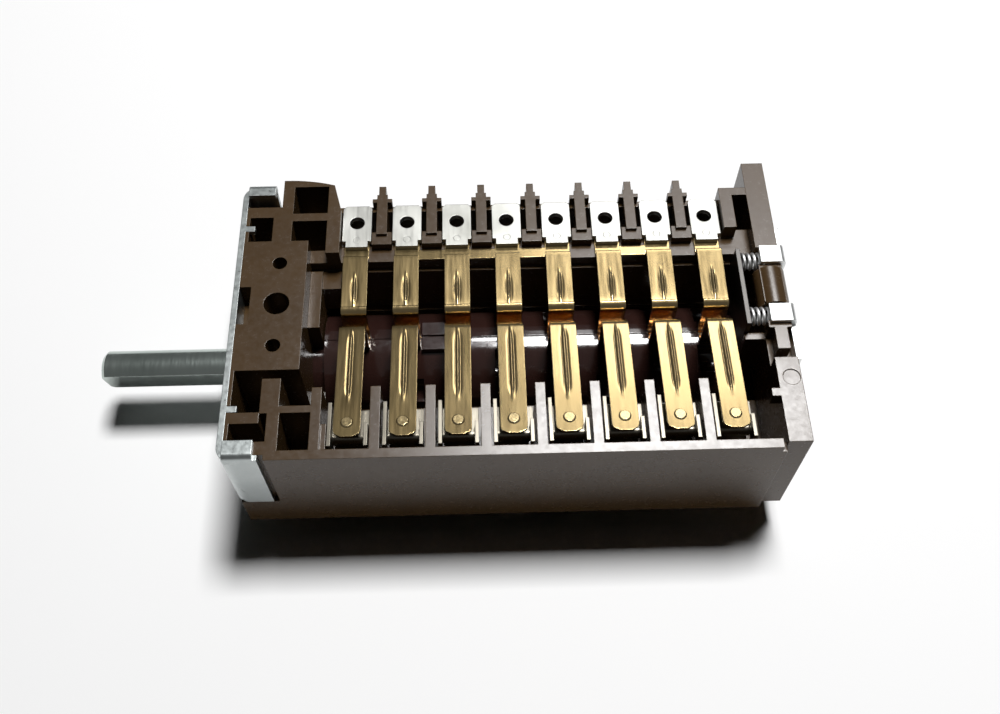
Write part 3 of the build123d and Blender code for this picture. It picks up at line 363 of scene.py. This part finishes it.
# spring brass, with painted shade darkening the inside of the blades' folds
BRASS = Finish(
    "spring_brass", light=(0.44, 0.335, 0.165), dark=(0.31, 0.225, 0.105), edge=(0.75, 0.62, 0.4),
    metallic=1.0, roughness=0.2, spread=0.04, marks_scale=2200.0, lay=Lay.ALONG_Y, bump=0.07,
    edge_amount=0.4, painted_shade_layer=PAINTED_FOLD_SHADE, painted_shade_colour=(0.34, 0.22, 0.11),
)
TINNED = Finish(
    "tinned_copper", light=(0.6, 0.6, 0.57), dark=(0.2, 0.2, 0.18), edge=(0.6, 0.6, 0.58),
    metallic=1.0, roughness=0.4, spread=0.08, marks_scale=1800.0, lay=Lay.ALONG_Y, bump=0.25,
    edge_amount=0.4,
)
RIVET = Finish(
    "contact_silver", light=(0.52, 0.42, 0.23), dark=(0.4, 0.3, 0.15), edge=(0.8, 0.7, 0.48),
    metallic=1.0, roughness=0.24, spread=0.06, marks_scale=2400.0, lay=Lay.EVEN, bump=0.25,
    edge_amount=0.4,
)
STRIP = Finish(
    "contact_strip", light=(0.24, 0.22, 0.18), dark=(0.12, 0.11, 0.09), edge=(0.6, 0.58, 0.5),
    metallic=1.0, roughness=0.3, spread=0.06, marks_scale=1800.0, lay=Lay.ALONG_Y, bump=0.2,
    edge_amount=0.5,
)
SPRING = Finish(
    "spring_steel", light=(0.94, 0.94, 0.93), dark=(0.8, 0.8, 0.8), edge=(0.95, 0.95, 0.94),
    metallic=1.0, roughness=0.46, spread=0.06, marks_scale=2600.0, lay=Lay.ALONG_X, bump=0.2,
    edge_amount=0.4,
)
DETENT = Finish(
    "detent_steel", light=(0.12, 0.115, 0.11), dark=(0.07, 0.068, 0.065), edge=(0.3, 0.3, 0.29),
    metallic=1.0, roughness=0.38, spread=0.06, marks_scale=2000.0, lay=Lay.EVEN, bump=0.15,
    edge_amount=0.3,
)
CLIP = Finish(
    "clip_steel", light=(0.8, 0.81, 0.8), dark=(0.62, 0.64, 0.63), edge=(0.93, 0.94, 0.93),
    metallic=1.0, roughness=0.36, spread=0.06, marks_scale=1500.0, lay=Lay.EVEN, bump=0.15,
    edge_amount=0.4,
)
FINISHES = (BROWN, DARK, ZINC, SHAFT, BRASS, TINNED, RIVET, STRIP, SPRING, DETENT, CLIP)


class Workshop:
    """Finished materials and the way a new piece enters the scene."""

    def __init__(self) -> None:
        """Make each finish's material once."""
        groups = NodeGroups(EffectSizes())
        self.materials = {finish.name: finish.material(groups) for finish in FINISHES}

    def dress(self, obj: bpy.types.Object, finish: Finish) -> None:
        """Give an object one finish in all its material slots.

        Args:
            obj: a CAD node or a new piece.
            finish: the finish it takes.
        """
        made = self.materials[finish.name]
        if not obj.material_slots:
            obj.data.materials.append(made)
        for place in obj.material_slots:
            place.material = made

    def add(self, name: str, bm: bmesh.types.BMesh, finish: Finish, body: Body) -> bpy.types.Object:
        """Turn a bmesh into a piece that rides on a body.

        Args:
            name: name of the piece.
            bm: its mesh in place, freed here.
            finish: the finish it takes.
            body: the body it rides on.

        Returns:
            The new object.
        """
        bmesh.ops.remove_doubles(bm, verts=bm.verts[:], dist=MERGE_DISTANCE)
        bmesh.ops.recalc_face_normals(bm, faces=bm.faces[:])
        mesh = bpy.data.meshes.new(name)
        bm.to_mesh(mesh)
        bm.free()
        obj = bpy.data.objects.new(name, mesh)
        bpy.context.scene.collection.objects.link(obj)
        self.dress(obj, finish)
        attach(obj, body.value)
        LOG.info("piece %s: %d faces", name, len(mesh.polygons))
        return obj

    @staticmethod
    def smooth(obj: bpy.types.Object, sharp_angle: float) -> None:
        """Shade a piece smoothly between its sharp edges.

        Args:
            obj: the piece.
            sharp_angle: turn past which an edge stays sharp, in radians.
        """
        for face in obj.data.polygons:
            face.use_smooth = True
        obj.data.set_sharp_from_angle(angle=sharp_angle)


@dataclass
class BladeStamping:
    """One brass stamping: blades that fold down onto the drum, joined by a comb strip.

    Lengths are in millimetres. The blades run along Y, and first and last count contacts from 0.
    The columns are the places across half a blade where its section has a point.
    """

    name: str
    node: str
    first: int
    last: int
    thickness: float = 0.35
    half_width: float = 1.75
    root_y: float = 13.6
    bend_y: float = 9.9
    tip_y: float = -18.6
    ledge_z: float = 12.2
    rise: float = 2.2
    fold_far_y: float = 0.9
    fold_near_y: float = -1.4
    fold_z: float = 7.5
    lean: float = 0.15
    root_radius: float = 2.0
    fold_radius: float = 0.75
    tip_radius: float = 1.0
    bend_steps: int = 6
    step: float = 0.45
    beads: tuple[tuple[float, float], ...] = ((-13.4, -2.2), (1.7, 7.2))
    bead_taper: float = 1.6
    ridge: float = 0.17
    ridge_width: float = 0.17
    groove: float = 0.08
    groove_at: float = 0.33
    groove_width: float = 0.11
    comb_near_y: float = 9.95
    comb_far_y: float = 11.5
    # painted shade in the fold: gain and start of the layer's value by the dip's depth
    shade_gain: float = 4.0
    shade_start: float = 0.35
    sharp_angle: float = math.radians(38)
    columns: tuple[float, ...] = (
        0.0, 0.09, 0.18, 0.28, 0.36, 0.44, 0.54, 0.75, 1.1, 1.45, 1.66, 1.75,
    )

    def centre_z(self, y: float) -> float:
        """Height of the blade's middle on its slope."""
        slope = self.rise / (self.bend_y - self.tip_y)
        return self.ledge_z + max(0.0, self.bend_y - y) * slope + self.thickness / 2

    def route(self) -> list[Vector]:
        """Trace the middle line of a blade with its five bends.

        Returns:
            Points in Y and Z from the root to the tip.
        """
        fold_z = self.fold_z + self.thickness / 2
        corners = [
            (self.root_y, self.centre_z(self.root_y), 0.0),
            (self.bend_y, self.centre_z(self.bend_y), self.root_radius),
            (self.fold_far_y + self.lean, self.centre_z(self.fold_far_y), self.fold_radius),
            (self.fold_far_y - self.lean, fold_z, self.fold_radius),
            (self.fold_near_y + self.lean, fold_z, self.fold_radius),
            (self.fold_near_y - self.lean, self.centre_z(self.fold_near_y), self.fold_radius),
            (self.tip_y, self.centre_z(self.tip_y), 0.0),
        ]
        points: list[Vector] = []
        for index, (y, z, radius) in enumerate(corners):
            corner = Vector((y, z))
            if radius == 0.0:
                self.extend(points, corner)
                continue
            back = (Vector(corners[index - 1][:2]) - corner).normalized()
            ahead = (Vector(corners[index + 1][:2]) - corner).normalized()
            half = back.angle(ahead) / 2
            reach = radius / math.tan(half)
            middle = corner + (back + ahead).normalized() * (radius / math.sin(half))
            start, end = corner + back * reach, corner + ahead * reach
            self.extend(points, start)
            for turn in range(1, self.bend_steps + 1):
                arm = (start - middle).slerp(end - middle, turn / self.bend_steps)
                points.append(middle + arm)
        return points

    def extend(self, points: list[Vector], target: Vector) -> None:
        """Add a straight stretch in short steps.

        Args:
            points: the route so far, added to in place.
            target: end of the stretch.
        """
        if points:
            start = points[-1]
            count = max(1, round((target - start).length / self.step))
            points.extend(start.lerp(target, k / count) for k in range(1, count))
        points.append(target)

    def bead(self, y: float, across: float) -> float:
        """Height of the pressed bead at a place on the blade.

        Args:
            y: place along the blade.
            across: distance from the blade's middle line.

        Returns:
            Ridge height, negative in the two grooves.
        """
        for near, far in self.beads:
            if near < y < far:
                share = min(1.0, (y - near) / self.bead_taper, (far - y) / self.bead_taper)
                top = self.ridge * math.exp(-((across / self.ridge_width) ** 2))
                aside = abs(across) - self.groove_at * share
                dip = self.groove * math.exp(-((aside / self.groove_width) ** 2))
                return (top - dip) * math.sqrt(max(share, 0.0))
        return 0.0

    def half_at(self, y: float) -> float:
        """Half width of the blade, rounded at the tip.

        Args:
            y: place along the blade.

        Returns:
            The half width there.
        """
        into = self.tip_radius - (y - self.tip_y)
        if into <= 0:
            return self.half_width
        return self.half_width - self.tip_radius + math.sqrt(max(0.0, self.tip_radius**2 - into**2))

    def blade(self, bm: bmesh.types.BMesh, shade: bmesh.types.BMLayerItem, centre_x: float) -> None:
        """Add one closed blade.

        Args:
            bm: the mesh that it goes into.
            shade: the layer of painted shade that darkens the fold.
            centre_x: its middle line, in millimetres.
        """
        route = self.route()
        across = [-c for c in reversed(self.columns[1:])] + list(self.columns)
        rings = []
        for index, point in enumerate(route):
            before, after = route[max(index - 1, 0)], route[min(index + 1, len(route) - 1)]
            along = (after - before).normalized()
            normal = Vector((along.y, -along.x))
            scale = self.half_at(point.x) / self.half_width
            depth = (self.centre_z(point.x) - point.y) / (self.ledge_z - self.fold_z)
            ring = []
            for side in (1, -1):
                for place in across if side > 0 else reversed(across):
                    lift = side * self.thickness / 2 + self.bead(point.x, place)
                    spot = point + normal * lift
                    vert = bm.verts.new((centre_x * MM + place * scale * MM, spot.x * MM, spot.y * MM))
                    # painted shade, stronger the deeper the blade dips into its fold
                    vert[shade] = min(1.0, max(0.0, self.shade_gain * depth - self.shade_start))
                    ring.append(vert)
            rings.append(ring)
        for low, high in zip(rings, rings[1:]):
            for k in range(len(low)):
                beside = (k + 1) % len(low)
                bm.faces.new((low[k], low[beside], high[beside], high[k]))
        bm.faces.new(rings[0])
        bm.faces.new(list(reversed(rings[-1])))

    def comb(self, bm: bmesh.types.BMesh, left: float, right: float) -> None:
        """Join two blades by a piece of the comb strip.

        Args:
            bm: the mesh that it goes into.
            left: middle line of one blade, in millimetres.
            right: middle line of the next one.
        """
        width = right - left - 2 * self.half_width
        size = Vector((width, self.comb_far_y - self.comb_near_y, self.thickness))
        middle_y = (self.comb_near_y + self.comb_far_y) / 2
        middle = Vector(((left + right) / 2, middle_y, self.centre_z(self.bend_y)))
        place = Matrix.Translation(middle * MM) @ Matrix.Diagonal((*(size * MM), 1.0))
        bmesh.ops.create_cube(bm, size=1.0, matrix=place)

    def build(self, shop: Workshop, nodes: Nodes) -> None:
        """Build the stamping in place of its CAD node.

        Args:
            shop: the workshop with the materials.
            nodes: the CAD nodes by name.
        """
        bm = bmesh.new()
        # layer of painted shade for the folds
        shade = bm.verts.layers.float.new(PAINTED_FOLD_SHADE)
        centres = [(FIRST_X + index * PITCH) / MM for index in range(self.first, self.last + 1)]
        for centre in centres:
            self.blade(bm, shade, centre)
        for left, right in zip(centres, centres[1:]):
            self.comb(bm, left, right)
        obj = shop.add(self.name, bm, BRASS, Body.BASE)
        shop.smooth(obj, self.sharp_angle)
        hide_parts(nodes[self.node].name)


@dataclass
class DetentSpring:
    """One coiled spring between the detent plate and the end plate.

    Lengths are in millimetres.
    """

    name: str
    node: str
    centre_y: float
    centre_z: float = 13.3
    start_x: float = 70.28
    length: float = 4.3
    coil_radius: float = 1.08
    wire_radius: float = 0.22
    wire_sides: int = 10
    turns: int = 6
    steps_per_turn: int = 32
    seat_x: float = 74.8
    travel: float = 0.77
    sharp_angle: float = math.radians(50)

    def build(self, shop: Workshop, nodes: Nodes) -> None:
        """Wind the spring in place of its CAD node.

        Args:
            shop: the workshop with the materials.
            nodes: the CAD nodes by name.
        """
        bm = bmesh.new()
        centre = Vector((self.start_x, self.centre_y, self.centre_z)) * MM
        first = Matrix.Translation(centre + Vector((0.0, self.coil_radius * MM, 0.0)))
        bmesh.ops.create_circle(bm, segments=self.wire_sides, radius=self.wire_radius * MM, matrix=first)
        steps = self.turns * self.steps_per_turn
        bmesh.ops.spin(
            bm, geom=bm.verts[:] + bm.edges[:], cent=centre, axis=(1.0, 0.0, 0.0),
            dvec=(self.length * MM / steps, 0.0, 0.0), angle=math.tau * self.turns, steps=steps,
            use_duplicate=False,
        )
        ends = [edge for edge in bm.edges if edge.is_boundary]
        bmesh.ops.holes_fill(bm, edges=ends, sides=self.wire_sides)
        obj = shop.add(self.name, bm, SPRING, Body.BASE)
        shop.smooth(obj, self.sharp_angle)
        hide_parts(nodes[self.node].name)
        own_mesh(obj)


@dataclass
class CadDress:
    """Finishes of the CAD nodes."""

    plan: dict[str, Finish] = field(default_factory=lambda: {
        "housing": BROWN,
        "rear_end_plate": BROWN,
        "mounting_plate": ZINC,
        "shaft": SHAFT,
        "cam_drum": DARK,
        "moving_contact_rivets": RIVET,
        "fixed_contact_rivets": RIVET,
        "terminal_rivets": TINNED,
        "detent_plate": DETENT,
        "detent_spring_near": SPRING,
        "detent_spring_far": SPRING,
        "rear_clip": CLIP,
    })

    def finish_of(self, node: str) -> Finish:
        """Finish of one node.

        Args:
            node: name of the CAD node.

        Returns:
            Its own finish, or the one of its family.
        """
        if node in self.plan:
            return self.plan[node]
        if node.startswith("fixed_contact_"):
            return STRIP
        return BRASS if node.startswith("contact_") else TINNED

    def dress(self, shop: Workshop, nodes: Nodes) -> None:
        """Give every CAD node its finish.

        Args:
            shop: the workshop with the materials.
            nodes: the CAD nodes by name.
        """
        for name in sorted(nodes):
            shop.dress(nodes[name], self.finish_of(name))
            LOG.info("dressed %s", name)


STAMPINGS = (
    BladeStamping("blade_1", "contact_spring_1", first=0, last=0),
    BladeStamping("blades_2_to_5", "contact_comb_2_to_5", first=1, last=4),
    BladeStamping("blades_6_to_7", "contact_comb_6_to_7", first=5, last=6),
    BladeStamping("blade_8", "contact_spring_8", first=7, last=7),
)

SPRINGS = (
    DetentSpring("coil_near", "detent_spring_near", centre_y=-1.3),
    DetentSpring("coil_far", "detent_spring_far", centre_y=7.7),
)


@dataclass(frozen=True)
class Lamp:
    """One flat lamp that shines straight down, in metres and watts.

    A lamp without diffuse shows in reflections alone, and one with targets lights only those CAD nodes.
    """

    name: str
    place: tuple[float, float, float]
    size: tuple[float, float]
    power: float
    diffuse: bool = True
    targets: tuple[str, ...] = ()

    def hang(self, nodes: Nodes) -> None:
        """Hang the lamp in the scene.

        Args:
            nodes: the CAD nodes by name.
        """
        data = bpy.data.lights.new(self.name, "AREA")
        data.shape = "RECTANGLE"
        data.size, data.size_y = self.size
        data.energy = self.power
        obj = bpy.data.objects.new(self.name, data)
        obj.matrix_world = Matrix.Translation(self.place)
        obj.visible_diffuse = self.diffuse
        bpy.context.scene.collection.objects.link(obj)
        if self.targets:
            lit = bpy.data.collections.new(f"lit_by_{self.name}")
            for target in self.targets:
                lit.objects.link(nodes[target])
            obj.light_linking.receiver_collection = lit


LAMPS = (
    Lamp("key_lamp", place=(0.125, 0.15, 0.66), size=(0.15, 0.15), power=5.4),
    Lamp("far_strip", place=(0.165, 0.285, 0.614), size=(0.27, 0.1), power=8.5, diffuse=False,
         targets=("housing", "rear_end_plate", "cam_drum")),
    Lamp("low_card", place=(0.26, 0.52, 0.614), size=(0.36, 0.22), power=1.5, diffuse=False),
)


@dataclass
class Studio:
    """Floor, lights and camera, all outside the object, with lengths in metres."""

    floor_z: float = -10.0 * MM
    floor_half: float = 1.5
    paper: Colour = (0.94, 0.94, 0.94)
    paper_roughness: float = 0.9
    world_colour: Colour = (1.0, 1.0, 1.0)
    world_strength: float = 0.16
    eye: tuple[float, float, float] = (34.10 * MM, -79.64 * MM, 139.76 * MM)
    azimuth: float = math.radians(1.568)
    elevation: float = math.radians(60.018)
    lens: float = 39.5
    sensor: float = 36.0
    clip_start: float = 0.005

    def floor(self) -> None:
        """Lay the pale floor."""
        bm = bmesh.new()
        bmesh.ops.create_grid(bm, x_segments=1, y_segments=1, size=self.floor_half)
        bmesh.ops.translate(bm, verts=bm.verts[:], vec=(0, 0, self.floor_z))
        mesh = bpy.data.meshes.new("floor")
        bm.to_mesh(mesh)
        bm.free()
        obj = bpy.data.objects.new("floor", mesh)
        bpy.context.scene.collection.objects.link(obj)
        made = bpy.data.materials.new("floor_paper")
        made.use_nodes = True
        shader = made.node_tree.nodes["Principled BSDF"]
        socket(shader, "Base Color").default_value = (*self.paper, 1.0)
        socket(shader, "Roughness").default_value = self.paper_roughness
        mesh.materials.append(made)

    def lights(self, nodes: Nodes) -> None:
        """Set the soft world light, which shows in reflections alone, and hang the lamps.

        Args:
            nodes: the CAD nodes by name.
        """
        world = bpy.data.worlds.new("studio")
        world.use_nodes = True
        back = world.node_tree.nodes["Background"]
        socket(back, "Color").default_value = (*self.world_colour, 1.0)
        socket(back, "Strength").default_value = self.world_strength
        bpy.context.scene.world = world
        world.cycles_visibility.diffuse = False
        for lamp in LAMPS:
            lamp.hang(nodes)

    def camera(self) -> None:
        """Place the camera at the photographed angle."""
        side, ahead = math.sin(self.azimuth), math.cos(self.azimuth)
        drop, level = math.sin(self.elevation), math.cos(self.elevation)
        forward = Vector((side * level, ahead * level, -drop))
        right = Vector((ahead, -side, 0.0))
        up = right.cross(forward)
        turn = Matrix((right, up, -forward)).transposed().to_4x4()
        data = bpy.data.cameras.new("camera")
        data.sensor_fit = "HORIZONTAL"
        data.sensor_width = self.sensor
        data.lens = self.lens
        data.clip_start = self.clip_start
        obj = bpy.data.objects.new("camera", data)
        obj.matrix_world = Matrix.Translation(self.eye) @ turn
        bpy.context.scene.collection.objects.link(obj)
        bpy.context.scene.camera = obj

    def build(self, nodes: Nodes) -> None:
        """Build the whole studio.

        Args:
            nodes: the CAD nodes by name.
        """
        self.floor()
        self.lights(nodes)
        self.camera()
        bpy.context.scene.view_settings.view_transform = "Standard"
        LOG.info("studio is ready")


def main() -> None:
    """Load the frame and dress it."""
    logging.basicConfig(level=logging.INFO)
    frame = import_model()
    shop = Workshop()
    CadDress().dress(shop, frame["nodes"])
    for made in (*STAMPINGS, *SPRINGS):
        made.build(shop, frame["nodes"])
    Studio().build(frame["nodes"])


if __name__ == "__main__":
    main()
